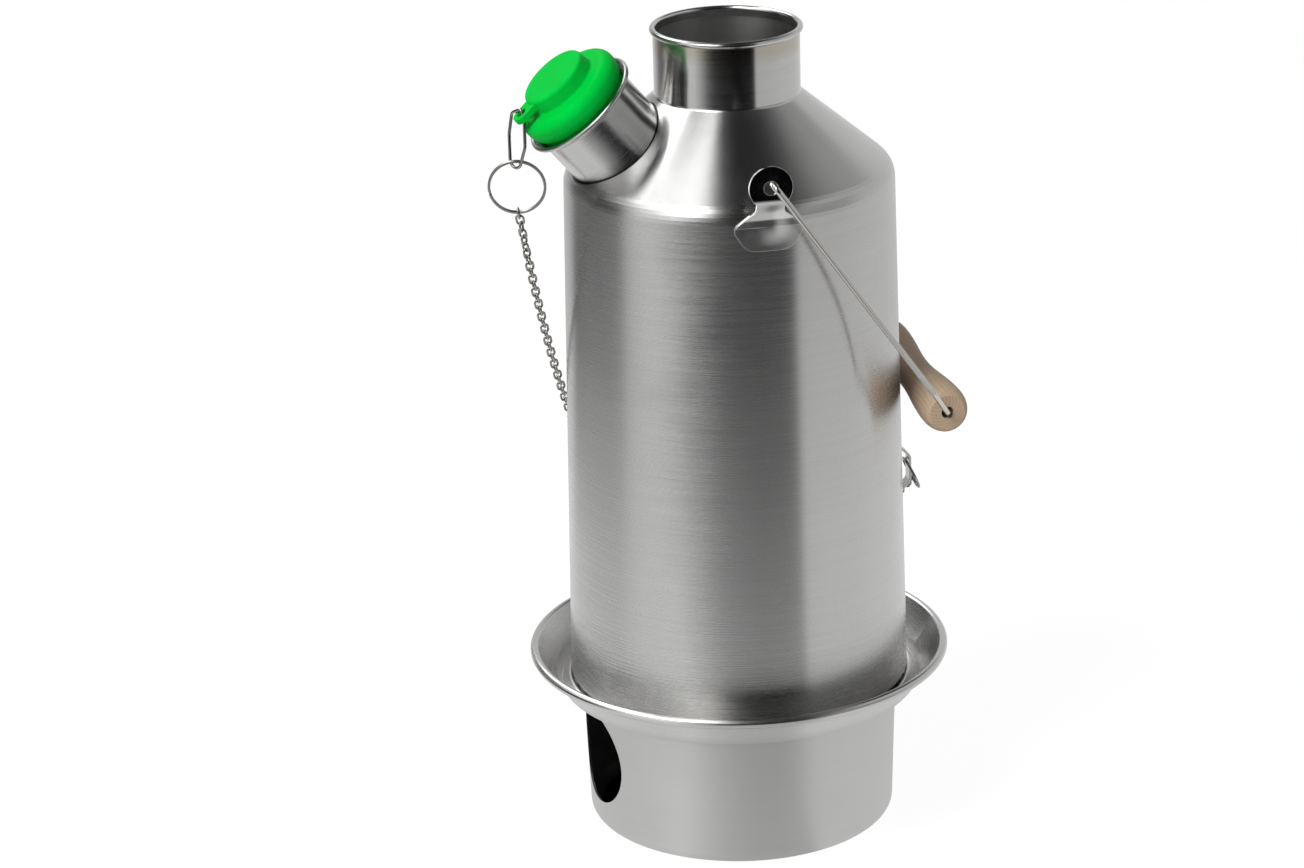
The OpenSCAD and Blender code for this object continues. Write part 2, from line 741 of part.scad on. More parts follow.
chain_gap = 0.04;
chain_pitch = link_len - 4 * link_wire_r - chain_gap;
chain_roll = 45;
chain_stand = 0.35;
chain_off = (link_w / 2 - link_wire_r) * sin(chain_roll) + link_wire_r + chain_stand;
ring_seat = 0.6;
ring_shift = 0.15;
chain_start = split_mid - split_up * (split_ring_r - split_wire_w / 2 - ring_seat)
              - cross(split_up, split_level) * ring_shift;
lug_contact_turn = 48;
lug_contact = lug_ring_down * cos(lug_contact_turn) + [0, 1, 0] * sin(lug_contact_turn);
lug_tangent = [0, 1, 0] * cos(lug_contact_turn) - lug_ring_down * sin(lug_contact_turn);
lug_pull_turn = 34;
lug_pull = cross(lug_ring_down, [0, 1, 0]) * sin(lug_pull_turn) - lug_contact * cos(lug_pull_turn);
chain_end = lug_ring_mid + lug_contact * lug_ring_r + lug_pull * (lug_ring_wire_r + fit_gap);

start_az = atan2(chain_start[1], chain_start[0]) + (chain_start[1] < 0 ? 360 : 0);
start_r = norm(xy(chain_start));
end_az = atan2(chain_end[1], chain_end[0]);
end_r = norm(xy(chain_end));
meet_r = wall_r(170) + chain_off;
leave_r = wall_r(110) + chain_off;
meet_az = start_az - acos(meet_r / start_r);
leave_az = end_az + acos(leave_r / end_r);
free_h = sqrt(start_r * start_r - meet_r * meet_r);
wrap_h = (meet_r + leave_r) / 2 * (meet_az - leave_az) * PI / 180;
rear_h = sqrt(end_r * end_r - leave_r * leave_r);
total_h = free_h + wrap_h + rear_h;
chain_drop = chain_start[2] - chain_end[2];
function sinh(x) = (exp(x) - exp(-x)) / 2;
function cosh(x) = (exp(x) + exp(-x)) / 2;
function asinh(x) = ln(x + sqrt(x * x + 1));

// Distance along the unrolled line at which a catenary of size a is lowest
function lowest_h(a) = total_h / 2 + a * asinh(chain_drop / (2 * a * sinh(total_h / (2 * a))));
function chain_z(h, a) =
    chain_start[2] + a * (cosh((h - lowest_h(a)) / a) - cosh(lowest_h(a) / a));

// Point of the chain's line at distance h along the unrolled wall
function chain_point(h, a) =
    let (z = chain_z(h, a))
    h < free_h
        ? let (t = h / free_h, meet = meet_r * [cos(meet_az), sin(meet_az)])
          [chain_start[0] + (meet[0] - chain_start[0]) * t,
           chain_start[1] + (meet[1] - chain_start[1]) * t, z]
        : h > free_h + wrap_h
        ? let (t = (h - free_h - wrap_h) / rear_h, leave = leave_r * [cos(leave_az), sin(leave_az)])
          [leave[0] + (chain_end[0] - leave[0]) * t,
           leave[1] + (chain_end[1] - leave[1]) * t, z]
        : let (t = (h - free_h) / wrap_h,
               az = meet_az + (leave_az - meet_az) * t,
               r = max(wall_r(z) + chain_off, meet_r + (leave_r - meet_r) * t))
          [r * cos(az), r * sin(az), z];

chain_steps = 300;
function chain_samples(a) = [for (i = [0:chain_steps]) chain_point(total_h * i / chain_steps, a)];
function running_length(p) =
    [for (i = 0, s = 0; i < len(p); s = s + (i + 1 < len(p) ? norm(p[i + 1] - p[i]) : 0), i = i + 1) s];

// Size of the catenary whose length is that of the links
function fit_catenary(low, high, tries) =
    tries == 0
        ? (low + high) / 2
        : let (mid = (low + high) / 2,
               length = last(running_length(chain_samples(mid))))
          length > chain_links * chain_pitch
              ? fit_catenary(mid, high, tries - 1)
              : fit_catenary(low, mid, tries - 1);

chain_size = fit_catenary(60, 200, 18);
chain_line = chain_samples(chain_size);
chain_run = running_length(chain_line);

// Points where one link hangs in the next
function contact(i) =
    let (s = last(chain_run) * i / chain_links,
         k = min(chain_steps - 1, len([for (r = chain_run) if (r <= s) r]) - 1),
         t = (s - chain_run[k]) / (chain_run[k + 1] - chain_run[k]))
    chain_line[k] + (chain_line[k + 1] - chain_line[k]) * t;

contacts = [for (i = [0:chain_links]) contact(i)];

// Outward direction at a link, steady along the free stretches
function outward(p) =
    let (az = atan2(p[1], p[0]) + (p[1] < 0 ? 360 : 0), held = max(leave_az, min(meet_az, az)))
    [cos(held), sin(held), 0];

// Axes of link i before it is rolled: along the chain, out from the kettle and sideways
function link_axes(i) =
    let (a = contacts[i],
         b = contacts[i + 1],
         along = unit(b - a),
         out = outward((a + b) / 2),
         rise = unit(out - along * (out * along)))
    [along, rise, cross(along, rise)];

// Roll, nearest to the chain's own, that turns link i to face a direction
function roll_to(i, direction) =
    let (axes = link_axes(i),
         roll = atan2(direction * axes[2], direction * axes[1]) - 90 * (i % 2))
    roll - 180 * round((roll - chain_roll) / 180);

// Links at each end turn step by step, so that the end ones face along their rings' wire
twist_links = 8;
start_roll = roll_to(0, split_level);
end_roll = roll_to(chain_links - 1, lug_tangent);
function link_roll(i) =
    let (from_start = min(1, i / twist_links),
         from_end = min(1, (chain_links - 1 - i) / twist_links))
    90 * (i % 2) + chain_roll + (start_roll - chain_roll) * (1 - from_start)
        + (end_roll - chain_roll) * (1 - from_end);

module chain_part(first, final) {
    color(bright) for (i = [first:final]) {
        axes = link_axes(i);
        roll = link_roll(i);
        face = axes[1] * cos(roll) + axes[2] * sin(roll);
        in_axes((contacts[i] + contacts[i + 1]) / 2, axes[0], cross(face, axes[0]), face)
            wire_oval(link_len - 2 * link_wire_r, link_w - 2 * link_wire_r, link_wire_r);
    }
}

hang_links = floor(chain_links * 0.24);
rear_links = 6;
module chain_top() { chain_part(0, 3); }
module chain_mid() { chain_part(4, 7); }
module chain_hang() { chain_part(8, hang_links); }
module chain_wrap() { chain_part(hang_links + 1, chain_links - rear_links - 1); }
module chain_rear() { chain_part(chain_links - rear_links, chain_links - 1); }

fire_base();
outer_shell();
flue();
bottom_ring();
spout();
bail_lug_front();
bail_lug_back();
chain_lug();
bail_wire();
bail_grip();
stopper();
connector_link();
split_ring();
lug_ring();
chain_top();
chain_mid();
chain_hang();
chain_wrap();
chain_rear();
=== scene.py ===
import json
import math

import bpy
from mathutils import Matrix, Vector


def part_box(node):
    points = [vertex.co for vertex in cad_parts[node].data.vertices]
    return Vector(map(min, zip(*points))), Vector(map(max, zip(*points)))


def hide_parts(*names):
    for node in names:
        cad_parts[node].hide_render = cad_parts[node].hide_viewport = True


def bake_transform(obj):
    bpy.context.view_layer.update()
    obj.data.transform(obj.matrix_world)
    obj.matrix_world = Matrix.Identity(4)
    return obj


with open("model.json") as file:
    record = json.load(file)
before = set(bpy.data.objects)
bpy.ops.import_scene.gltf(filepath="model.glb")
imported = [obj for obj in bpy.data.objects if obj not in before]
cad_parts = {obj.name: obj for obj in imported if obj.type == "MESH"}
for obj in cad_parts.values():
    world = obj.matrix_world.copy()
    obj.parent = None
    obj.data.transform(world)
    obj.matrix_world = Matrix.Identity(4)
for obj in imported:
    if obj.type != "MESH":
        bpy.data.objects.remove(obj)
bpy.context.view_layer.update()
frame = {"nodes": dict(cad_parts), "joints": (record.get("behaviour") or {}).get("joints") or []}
NODES = frame["nodes"]
JOINTS = {joint["name"]: joint for joint in frame["joints"]}

# Places and directions, from the frame, in metres
UP = Vector((0, 0, 1))
FOOT_CENTRE = Vector((0, 0, 0))
BAIL_HINGE = Vector(JOINTS["bail_swing"]["pos_m"])
GRIP_AT = Vector(JOINTS["grip_spin"]["pos_m"])
SPOUT_AXIS = Vector(JOINTS["stopper_pull"]["axis"]).normalized()
MOUTH_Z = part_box("flue")[1].z
# Outside of the spout's tube, and just behind the back of the wall
SPOUT_R = 0.02135

# The camera, fitted to the photograph: its place, heading from +Y, tilt and roll, with the lens
# and the sensor in millimetres
CAMERA_AT = Vector((-0.374156, -1.618473, 0.778955))
CAMERA_HEADING = math.radians(11.838)
CAMERA_TILT = math.radians(20.206)
CAMERA_ROLL = math.radians(-1.591)
CAMERA_LENS = 117.70
SENSOR = 36.0


def view_axes():
    """Right, up and forward directions of the camera."""
    level = math.cos(CAMERA_TILT)
    ahead = Vector((math.sin(CAMERA_HEADING) * level, math.cos(CAMERA_HEADING) * level,
                    -math.sin(CAMERA_TILT)))
    right = Vector((math.cos(CAMERA_HEADING), -math.sin(CAMERA_HEADING), 0))
    above = right.cross(ahead)
    c, s = math.cos(CAMERA_ROLL), math.sin(CAMERA_ROLL)
    return c * right + s * above, c * above - s * right, ahead


def make_camera():
    data = bpy.data.cameras.new("camera")
    data.lens = CAMERA_LENS
    data.sensor_fit = "HORIZONTAL"
    data.sensor_width = SENSOR
    data.clip_start = 0.05
    data.clip_end = 20
    camera = bpy.data.objects.new("camera", data)
    right, above, ahead = view_axes()
    turn = Matrix((right, above, -ahead)).transposed().to_4x4()
    camera.matrix_world = Matrix.Translation(CAMERA_AT) @ turn
    bpy.context.scene.collection.objects.link(camera)
    bpy.context.scene.camera = camera


make_camera()


# Shader helpers

def fill(tree, node, inputs):
    """Set a node's inputs to values, or link them to sockets."""
    for key, value in inputs.items():
        socket = node.inputs[key]
        if isinstance(value, bpy.types.NodeSocket):
            tree.links.new(value, socket)
        else:
            socket.default_value = value


def add(tree, kind, inputs=None, **settings):
    """A node with its settings and inputs."""
    node = tree.nodes.new(kind)
    for name, value in settings.items():
        setattr(node, name, value)
    fill(tree, node, inputs or {})
    return node


def maths(tree, operation, a, b=0.0, c=0.0):
    return add(tree, "ShaderNodeMath", {0: a, 1: b, 2: c}, operation=operation).outputs[0]


def vector(tree, operation, a, b=(0, 0, 0), output=0):
    return add(tree, "ShaderNodeVectorMath", {0: a, 1: b}, operation=operation).outputs[output]


def dot(tree, a, b):
    return vector(tree, "DOT_PRODUCT", a, b, output=1)


def length_of(tree, a, b):
    """Length of two coordinates square to each other."""
    return maths(tree, "SQRT", maths(tree, "MULTIPLY_ADD", a, a, maths(tree, "MULTIPLY", b, b)))


def scaled(tree, a, factor):
    return add(tree, "ShaderNodeVectorMath", {0: a, "Scale": factor}, operation="SCALE").outputs[0]


def mapped(tree, value, low, high, to_low=0.0, to_high=1.0, smooth=False):
    """A value's place between low and high, brought to another range and held at its ends."""
    return add(tree, "ShaderNodeMapRange",
               {0: value, 1: low, 2: high, 3: to_low, 4: to_high},
               interpolation_type="SMOOTHSTEP" if smooth else "LINEAR").outputs[0]


def mixed(tree, factor, a, b):
    return add(tree, "ShaderNodeMix", {0: factor, 6: a, 7: b}, data_type="RGBA").outputs[2]


def ramp(tree, value, stops):
    """Greys between (position, brightness) stops."""
    node = add(tree, "ShaderNodeValToRGB", {0: value})
    elements = node.color_ramp.elements
    while len(elements) < len(stops):
        elements.new(0.5)
    for element, (position, grey) in zip(elements, stops):
        element.position = position
        element.color = (grey, grey, grey, 1)
    return node.outputs[0]


def noise(tree, coordinates, scale, detail=2.0, roughness=0.5):
    return add(tree, "ShaderNodeTexNoise", {"Vector": coordinates, "Scale": scale, "Detail": detail,
                                            "Roughness": roughness}).outputs[0]


def stretched_noise(tree, coordinates, scales, detail=2.0, roughness=0.5):
    """Noise with a scale of its own along each axis."""
    return noise(tree, vector(tree, "MULTIPLY", coordinates, scales), 1.0, detail, roughness)


def varied(tree, pattern, low, high, amount, base):
    """A base value that a pattern moves up and down by an amount."""
    return maths(tree, "MULTIPLY_ADD", mapped(tree, pattern, low, high, -1, 1), amount, base)


def bumped(tree, height, strength, distance, under=None):
    """A normal with small bumps, on top of another normal if one is given."""
    inputs = {"Strength": strength, "Distance": distance, "Height": height}
    if under:
        inputs["Normal"] = under
    return add(tree, "ShaderNodeBump", inputs).outputs[0]


def new_material(name):
    material = bpy.data.materials.new(name)
    material.use_nodes = True
    tree = material.node_tree
    tree.nodes.clear()
    shader = add(tree, "ShaderNodeBsdfPrincipled")
    add(tree, "ShaderNodeOutputMaterial", {0: shader.outputs[0]})
    return material, tree, shader


def place(tree):
    """Position on the object, in the frame's metres."""
    return add(tree, "ShaderNodeTexCoord").outputs["Object"]


# Materials

# Noise per metre, across and along the lines that a turning or brushing tool leaves
FINE_LINES = (3200, 26)
BROAD_LINES = (620, 9)
# Share of the radius that joins the height, so that there are lines on cones and flat rings too
CONE_SHARE = 0.83
# The steel is a little warmer than grey
STEEL_TONE = Vector((1, 0.995, 0.985))
RIM_DEPTH = 0.001
# The weld round the spout's foot: its soft edge outside the tube, and where it starts along the
# tube, counted from the rim
WELD_EDGES = (0.0006, 0.0011)
WELD_FROM = (-0.065, -0.060)
WELD_COLOUR = (0.012, 0.011, 0.010, 1)
# Heat colours: depths below the mouth at which they start and are full, and how far this wanders
HEAT_DEPTHS = (0.008, 0.001)
HEAT_WANDER = 0.008
HEAT_AMOUNT = 0.6
STRAW = (0.50, 0.43, 0.33, 1)
# The bail ears: the radius of their edges, their crease, and the depths below the hinge between
# which the crease begins, between which it fades, and between which the foot gets duller
EAR_EDGE_R = 0.0003
CREASE_W = 0.0052
CREASE_DEPTH = 0.0011
CREASE_START = (0.012, 0.007)
CREASE_END = (0.026, 0.017)
EAR_FOOT = (0.011, 0.006)
EAR_FOOT_DULLER = 0.20
GREENS = (0.0, 0.46, 0.040, 1), (0.0, 0.51, 0.052, 1)
# The grip's wood: its pith, growth rings per metre and how far they wander, with the noise per
# metre across and along the grain
PITH = GRIP_AT + Vector((-0.004, 0, 0.006))
RINGS = 720
RING_STOPS = [(0.0, 0.25), (0.12, 0.0), (0.7, 0.45), (0.93, 1.0), (1.0, 0.3)]
RING_WANDER = 0.0032
WANDER_SCALES = (90, 14, 90)
FIBRE_SCALES = (2600, 70, 2600)
PORE_SCALES = (5200, 240, 5200)
EARLY_WOOD = (0.59, 0.43, 0.29, 1)
LATE_WOOD = (0.43, 0.30, 0.19, 1)
FIBRE = (0.68, 0.53, 0.38, 1)
PORE = (0.24, 0.165, 0.11, 1)


def turned_place(tree, centre, axis):
    """Height along an axis, distance from it, and the two coordinates square to it."""
    first = axis.orthogonal().normalized()
    second = axis.cross(first)
    rel = vector(tree, "SUBTRACT", place(tree), tuple(centre))
    height = dot(tree, rel, tuple(axis))
    a = dot(tree, rel, tuple(first))
    b = dot(tree, rel, tuple(second))
    return height, length_of(tree, a, b), a, b


def round_lines(tree, height, radius, a, b, lines):
    """Coordinates in which noise draws lines round the axis."""
    across, along = lines
    across_line = maths(tree, "MULTIPLY_ADD", radius, CONE_SHARE, height)
    return add(tree, "ShaderNodeCombineXYZ",
               {0: maths(tree, "MULTIPLY", a, along), 1: maths(tree, "MULTIPLY", b, along),
                2: maths(tree, "MULTIPLY", across_line, across)}).outputs[0]


def turned_steel(name, centre, axis, grey, roughness, anisotropy, grain=1.0, tint=None,
                 smoother=None):
    """Steel with its grain running round an axis. tint changes its colour. smoother is (low, high,
    amount): the roughness falls by the amount between two heights."""
    material, tree, shader = new_material(name)
    height, radius, a, b = turned_place(tree, centre, axis)
    level = (height, radius, a, b)
    fine = noise(tree, round_lines(tree, *level, FINE_LINES), 1.0, detail=3.0, roughness=0.6)
    broad = noise(tree, round_lines(tree, *level, BROAD_LINES), 1.0, detail=3.0, roughness=0.55)
    patch = noise(tree, place(tree), 22.0, detail=3.0)
    value = varied(tree, fine, 0.25, 0.75, amount=0.032 * grain, base=1.0)
    value = varied(tree, broad, 0.3, 0.7, amount=0.020 * grain, base=value)
    value = varied(tree, patch, 0.3, 0.7, amount=0.03, base=value)
    shade = scaled(tree, tuple(grey * STEEL_TONE), value)
    if tint:
        shade = tint(tree, shade, height)
    rough = varied(tree, fine, 0.2, 0.8, amount=0.05 * grain, base=roughness)
    rough = varied(tree, patch, 0.3, 0.7, amount=0.02, base=rough)
    if smoother:
        low, high, amount = smoother
        rough = maths(tree, "SUBTRACT", rough, mapped(tree, height, low, high, 0, amount))
    normal = add(tree, "ShaderNodeNewGeometry").outputs["Normal"]
    around = vector(tree, "NORMALIZE", vector(tree, "CROSS_PRODUCT", tuple(axis), normal))
    fill(tree, shader, {"Base Color": shade, "Metallic": 1.0, "Roughness": rough,
                        "Anisotropic": anisotropy,
                        "Tangent": vector(tree, "CROSS_PRODUCT", normal, around),
                        "Normal": bumped(tree, fine, strength=0.05 * grain, distance=0.00004)})
    return material


def heat_tint(tree, shade, height):
    """Faint straw and brown colours just below the chimney's bead."""
    start, full = HEAT_DEPTHS
    line = maths(tree, "MULTIPLY_ADD", noise(tree, place(tree), 55.0), HEAT_WANDER, height)
    amount = mapped(tree, line, MOUTH_Z - start, MOUTH_Z - full, 0, HEAT_AMOUNT, smooth=True)
    return mixed(tree, amount, shade, STRAW)


def spout_centre():
    """Middle of the spout's rim."""
    points = [v.co for v in NODES["spout"].data.vertices]
    top = max(p.dot(SPOUT_AXIS) for p in points)
    rim = [p for p in points if p.dot(SPOUT_AXIS) > top - RIM_DEPTH]
    return sum(rim, Vector()) / len(rim)


def shell_marks(tree, shade, height):
    """Heat colours at the chimney's mouth and the dark weld round the spout's foot."""
    along, away = turned_place(tree, spout_centre(), SPOUT_AXIS)[:2]
    inner, outer = WELD_EDGES
    close = mapped(tree, away, SPOUT_R + inner, SPOUT_R + outer, 1, 0)
    weld = maths(tree, "MULTIPLY", close, mapped(tree, along, *WELD_FROM))
    return mixed(tree, weld, heat_tint(tree, shade, height), WELD_COLOUR)


def below_hinge(tree, z, depths, to_low=0.0, to_high=1.0, smooth=True):
    """A change between two depths below the bail's hinge."""
    low, high = depths
    return mapped(tree, z, BAIL_HINGE.z - low, BAIL_HINGE.z - high, to_low, to_high, smooth)


def pressed_crease(tree, x, z):
    """Height of the crease that stiffens an ear's neck and fades into its foot."""
    across = maths(tree, "DIVIDE", maths(tree, "SUBTRACT", x, BAIL_HINGE.x), CREASE_W)
    square = maths(tree, "MULTIPLY", across, across)
    bell = maths(tree, "EXPONENT", maths(tree, "MULTIPLY", square, -1.0))
    start = below_hinge(tree, z, CREASE_START, 1, 0)
    end = below_hinge(tree, z, CREASE_END)
    return maths(tree, "MULTIPLY", bell, maths(tree, "MULTIPLY", start, end))


def polished_metal(name, colour, roughness, pressed=False):
    """Bright metal, slightly cloudy. A pressed piece has soft edges, a crease and a duller foot."""
    material, tree, shader = new_material(name)
    cloud = noise(tree, place(tree), 160.0, detail=4.0, roughness=0.6)
    fine = noise(tree, place(tree), 1400.0)
    shade = scaled(tree, colour, varied(tree, cloud, 0.3, 0.7, amount=0.04, base=1.0))
    rough = varied(tree, cloud, 0.3, 0.7, amount=0.03, base=roughness)
    rough = varied(tree, fine, 0.3, 0.7, amount=0.015, base=rough)
    under = None
    if pressed:
        parts = add(tree, "ShaderNodeSeparateXYZ", {0: place(tree)}).outputs
        foot = below_hinge(tree, parts["Z"], EAR_FOOT, EAR_FOOT_DULLER, 0, smooth=False)
        rough = maths(tree, "ADD", rough, foot)
        edges = add(tree, "ShaderNodeBevel", {"Radius": EAR_EDGE_R}, samples=6).outputs[0]
        crease = pressed_crease(tree, parts["X"], parts["Z"])
        under = bumped(tree, crease, strength=1.0, distance=CREASE_DEPTH, under=edges)
    normal = bumped(tree, fine, strength=0.06, distance=0.0001, under=under)
    fill(tree, shader, {"Base Color": shade, "Metallic": 1.0, "Roughness": rough,
                        "Normal": normal})
    return material


def silicone():
    """Bright moulded silicone with a fine matt skin."""
    material, tree, shader = new_material("green_silicone")
    cloud = noise(tree, place(tree), 60.0, detail=3.0)
    skin = noise(tree, place(tree), 5200.0, roughness=0.6)
    fill(tree, shader, {"Base Color": mixed(tree, mapped(tree, cloud, 0.35, 0.65), *GREENS),
                        "Roughness": mapped(tree, cloud, 0.3, 0.7, 0.42, 0.52),
                        "Specular IOR Level": 0.04, "Subsurface Weight": 0.10,
                        "Subsurface Radius": (0.1, 1.0, 0.2), "Subsurface Scale": 0.0015,
                        "Normal": bumped(tree, skin, strength=0.12, distance=0.00005)})
    return material


def turned_wood():
    """Pale hardwood turned along its grain, with growth rings on the ends."""
    material, tree, shader = new_material("turned_wood")
    rel = vector(tree, "SUBTRACT", place(tree), tuple(PITH))
    parts = add(tree, "ShaderNodeSeparateXYZ", {0: rel}).outputs
    wander = stretched_noise(tree, rel, WANDER_SCALES, detail=3.0, roughness=0.55)
    radius = length_of(tree, parts["X"], parts["Z"])
    grown = maths(tree, "MULTIPLY_ADD", wander, RING_WANDER, radius)
    rings = maths(tree, "FRACT", maths(tree, "MULTIPLY", grown, RINGS))
    fibre = stretched_noise(tree, rel, FIBRE_SCALES, detail=4.0, roughness=0.7)
    pores = mapped(tree, stretched_noise(tree, rel, PORE_SCALES), 0.62, 0.72)
    shade = mixed(tree, ramp(tree, rings, RING_STOPS), EARLY_WOOD, LATE_WOOD)
    shade = mixed(tree, mapped(tree, fibre, 0.3, 0.7, 0, 0.45), shade, FIBRE)
    shade = mixed(tree, maths(tree, "MULTIPLY", pores, 0.5), shade, PORE)
    fill(tree, shader, {"Base Color": shade, "Specular IOR Level": 0.35,
                        "Roughness": mapped(tree, fibre, 0.3, 0.7, 0.5, 0.68),
                        "Normal": bumped(tree, fibre, strength=0.25, distance=0.00012)})
    return material


BODY_STEEL = turned_steel("brushed_body_steel", FOOT_CENTRE, UP, grey=0.60, roughness=0.27,
                          anisotropy=0.92, tint=shell_marks, smoother=(0.285, 0.312, 0.10))
SPOUT_STEEL = turned_steel("brushed_spout_steel", spout_centre(), SPOUT_AXIS, grey=0.60,
                           roughness=0.24, anisotropy=0.90)
BASE_STEEL = turned_steel("satin_base_steel", FOOT_CENTRE, UP, grey=0.62, roughness=0.40,
                          anisotropy=0.45, grain=0.6, smoother=(0.060, 0.064, 0.13))
FLUE_STEEL = turned_steel("bright_flue_steel", FOOT_CENTRE, UP, grey=0.60, roughness=0.36,
                          anisotropy=0.5, grain=0.9,
                          smoother=(MOUTH_Z - 0.005, MOUTH_Z - 0.003, 0.18))
PRESSED = polished_metal("polished_pressed_steel", (0.78, 0.78, 0.77), roughness=0.15, pressed=True)
WIRE = polished_metal("bright_drawn_wire", (0.64, 0.63, 0.60), roughness=0.06)
NICKEL = polished_metal("nickel_plating", (0.40, 0.39, 0.37), roughness=0.05)
SILICONE = silicone()
WOOD = turned_wood()

FINISHES = {
    "fire_base": BASE_STEEL, "outer_shell": BODY_STEEL, "flue": FLUE_STEEL,
    "bottom_ring": FLUE_STEEL, "spout": SPOUT_STEEL, "bail_lug_front": PRESSED,
    "bail_lug_back": PRESSED, "chain_lug": PRESSED, "bail_wire": WIRE, "bail_grip": WOOD,
    "stopper": SILICONE, "connector_link": NICKEL, "split_ring": NICKEL, "lug_ring": NICKEL,
    "chain_top": NICKEL, "chain_mid": NICKEL, "chain_hang": NICKEL, "chain_wrap": NICKEL,
    "chain_rear": NICKEL,
}

for node, finish in FINISHES.items():
    NODES[node].data.materials.clear()
    NODES[node].data.materials.append(finish)


# Chain: each stretch is a fixed copy of its chain node, left where it stands


def chain_stretch(node):
    """A fixed copy of a chain node, left where it stands; the node itself is hidden."""
    piece = bpy.data.objects.new(node + "_links", NODES[node].data.copy())
    bpy.context.scene.collection.objects.link(piece)
    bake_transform(piece)
    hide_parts(node)


chain_stretch("chain_top")
chain_stretch("chain_mid")
chain_stretch("chain_hang")
chain_stretch("chain_wrap")
chain_stretch("chain_rear")


# Light

AHEAD = view_axes()[2]
TO_CAMERA = Vector((-AHEAD.x, -AHEAD.y, 0)).normalized()
TO_RIGHT = Vector((-TO_CAMERA.y, TO_CAMERA.x, 0))

# Brightness that the steel reflects, by the angle round the object in degrees: 0 is towards the
# camera and 90 to its right. The floor at the foot, close by, further off and far away.
FOOT_BANDS = [
    (-180, 0.82), (-60, 0.82), (-40, 0.88), (-24, 0.74), (-10, 0.66), (10, 0.60), (40, 0.62),
    (48, 0.82), (110, 0.80), (180, 0.78)]
CLOSE_BANDS = [
    (-180, 0.95), (-100, 0.90), (-60, 0.88), (-40, 0.92), (-24, 0.72), (-17, 0.60), (-10, 0.52),
    (3, 0.46), (17, 0.40), (31, 0.42), (42, 0.50), (46, 0.86), (60, 0.90), (180, 0.90)]
FAR_BANDS = [
    (-180, 0.67), (-146, 0.67), (-138, 0.10), (-118, 0.17), (-95, 0.22), (-85, 0.30), (-77, 0.46),
    (-68, 0.38), (-56, 0.35), (-48, 0.28), (-41, 0.17), (-33, 0.07), (-26, 0.02), (-12, 0.0),
    (15, 0.0), (31, 0.01), (42, 0.04), (46, 0.64), (135, 0.66), (180, 0.67)]
AWAY_BANDS = [
    (-180, 0.90), (-146, 0.50), (-137, 0.25), (-105, 0.10), (-84, 0.12), (-74, 0.60), (-63, 0.82),
    (-55, 0.80), (-47, 0.56), (-39, 0.30), (-31, 0.10), (-22, 0.02), (3, 0.0), (35, 0.0),
    (42, 0.03), (46, 0.60), (91, 0.69), (180, 0.75)]
# Above the floor, and overhead by how far to the right a direction leans
LEVEL_BANDS = [
    (-180, 0.70), (-146, 0.40), (-137, 0.05), (-85, 0.05), (-68, 0.90), (-40, 1.10), (-28, 0.50),
    (-18, 0.20), (-8, 0.05), (5, 0.01), (38, 0.01), (46, 0.30), (85, 0.35), (105, 0.60),
    (180, 0.70)]
OVERHEAD = [
    (-1.0, 0.08), (-0.90, 0.15), (-0.84, 0.9), (-0.68, 1.6), (-0.56, 3.6), (-0.32, 4.8),
    (-0.22, 3.6), (-0.14, 0.90), (-0.07, 0.13), (0.06, 0.03), (0.26, 0.03), (0.40, 0.05),
    (0.52, 0.12), (0.62, 0.34), (0.68, 0.66), (1.0, 0.75)]
# How steeply up a direction points, where the level bands turn into the overhead ones
OVERHEAD_FROM = (0.40, 0.65)
# Dark flags overhead: the share of a direction towards the camera from which the front one starts,
# and a disc's soft edge and middle
FLAG = (0.05, 0.05, 0.05, 1)
FLAG_FRONT = (0.66, 0.82)
DISC_EDGE = (0.24, 0.32)
DISC_MIDDLE = -(0.12 * TO_CAMERA + 0.22 * TO_RIGHT)
# Distances from the middle of the floor between which one table turns into the next
FLOOR_STEPS = [(0.20, 0.38, CLOSE_BANDS), (0.38, 0.70, FAR_BANDS), (0.80, 1.0, AWAY_BANDS)]
# How far from the axis the wall reflects the floor
WALL_R = 0.067
# The light on everything that doesn't mirror the room
PLAIN_LIGHT = (0.25, 0.255, 0.265, 1)
KEY_AT = TO_CAMERA * 0.9 - TO_RIGHT * 0.9 + UP * 1.6
KEY_TARGET = UP * 0.2
KEY_SIZE = 0.9
KEY_WATTS = 35
WHITE = (1, 1, 1, 1)
# The floor lies a little below the foot. It is pale to other pieces, and to the camera it shines
# nearly white with a faint shadow
FLOOR_HALF = 6.0
FLOOR_Z = -0.0002
FLOOR_PAINT = (0.78, 0.78, 0.78, 1)
SHADOW_PAINT = (0.12, 0.12, 0.12, 1)
FLOOR_GLOW = 0.95


def bands(tree, degrees, stops):
    """Brightness from a table, at an angle in degrees round the object."""
    return ramp(tree, maths(tree, "MULTIPLY_ADD", degrees, 1 / 360, 0.5),
                [((angle + 180) / 360, value) for angle, value in stops])


def angle_round(tree, position):
    """Angle of a position or direction round the object, in radians."""
    return maths(tree, "ARCTAN2", dot(tree, position, tuple(TO_RIGHT)),
                 dot(tree, position, tuple(TO_CAMERA)))


def by_ray(tree, plain, glossy, seen):
    """One shader for reflections, one for the camera and one for all other light."""
    path = add(tree, "ShaderNodeLightPath")
    lit = add(tree, "ShaderNodeMixShader", {0: path.outputs["Is Glossy Ray"], 1: plain, 2: glossy})
    return add(tree, "ShaderNodeMixShader",
               {0: path.outputs["Is Camera Ray"], 1: lit.outputs[0], 2: seen}).outputs[0]


